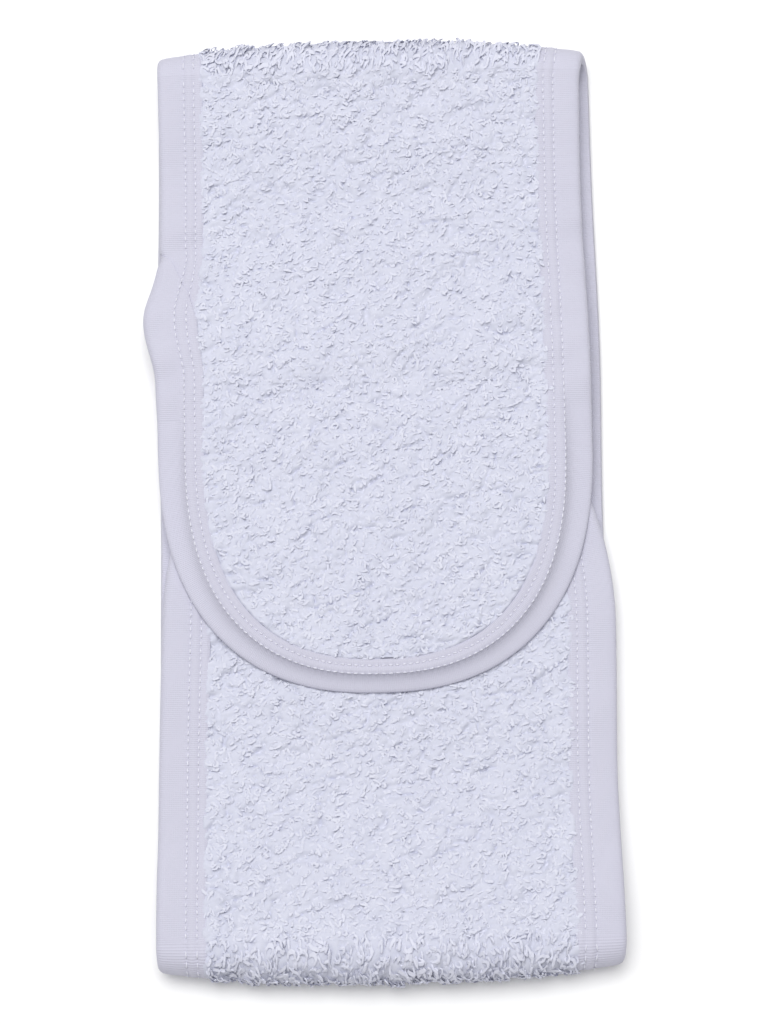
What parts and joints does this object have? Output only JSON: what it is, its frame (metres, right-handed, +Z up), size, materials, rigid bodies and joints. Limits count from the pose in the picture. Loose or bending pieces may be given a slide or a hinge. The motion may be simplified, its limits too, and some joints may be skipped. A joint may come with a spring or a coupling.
{
  "type": "spa headband",
  "caption": "Towelling spa headband folded in three, bound with stitched tape, with a rounded flap that fastens by hook and loop pads.",
  "frame": {"origin": "centre of the folded band's base, on the surface it lies on", "axes": "+X across the band, +Y along the folded band towards the top fold, +Z up"},
  "size_m": [0.115, 0.24, 0.0141],
  "materials": {
    "towelling": "matte",
    "binding": "matte",
    "thread": "satin",
    "hook_pad": "satin",
    "loop_pad": "matte"
  },
  "bodies": {
    "middle_panel": {"middle_towelling": "towelling", "middle_binding_left": "binding", "middle_stitching_left": "thread", "middle_binding_right": "binding", "middle_stitching_right": "thread", "top_fold_towelling": "towelling", "top_fold_binding_left": "binding", "top_fold_stitching_left": "thread", "top_fold_binding_right": "binding", "top_fold_stitching_right": "thread", "bottom_fold_towelling": "towelling", "bottom_fold_binding_left": "binding", "bottom_fold_stitching_left": "thread", "bottom_fold_binding_right": "binding", "bottom_fold_stitching_right": "thread"},
    "front_flap": {"flap_towelling": "towelling", "flap_binding_left": "binding", "flap_stitching_left": "thread", "flap_binding_right": "binding", "flap_stitching_right": "thread", "binding_join": "binding", "join_stitching": "thread"},
    "flap_tip": {"tip_towelling": "towelling", "tip_binding": "binding", "tip_stitching_outer": "thread", "tip_stitching_inner": "thread", "hook_pad": "hook_pad", "hook_pad_stitching": "thread"},
    "end_panel": {"end_towelling": "towelling", "end_binding": "binding", "end_stitching_outer": "thread", "end_stitching_inner": "thread", "loop_pad": "loop_pad", "loop_pad_stitching": "thread"}
  },
  "joints": [
    {"name": "flap_fold", "type": "hinge", "parent": "middle_panel", "child": "front_flap", "pos_m": [0, 0.12045, 0.00705], "axis": [-1, 0, 0], "range_deg": [0, 180], "deforming": ["top_fold_towelling", "top_fold_binding_left", "top_fold_stitching_left", "top_fold_binding_right", "top_fold_stitching_right"]},
    {"name": "end_fold", "type": "hinge", "parent": "middle_panel", "child": "end_panel", "pos_m": [0, -0.12045, 0.00705], "axis": [1, 0, 0], "range_deg": [0, 99], "deforming": ["bottom_fold_towelling", "bottom_fold_binding_left", "bottom_fold_stitching_left", "bottom_fold_binding_right", "bottom_fold_stitching_right"]},
    {"name": "tip_peel", "type": "hinge", "parent": "front_flap", "child": "flap_tip", "pos_m": [0, 0.014, 0.0141], "axis": [1, 0, 0], "range_deg": [-120, 0]}
  ],
  "couplings": [
    {"joint": "end_fold", "follows": "flap_fold", "ratio": 0.55}
  ]
}
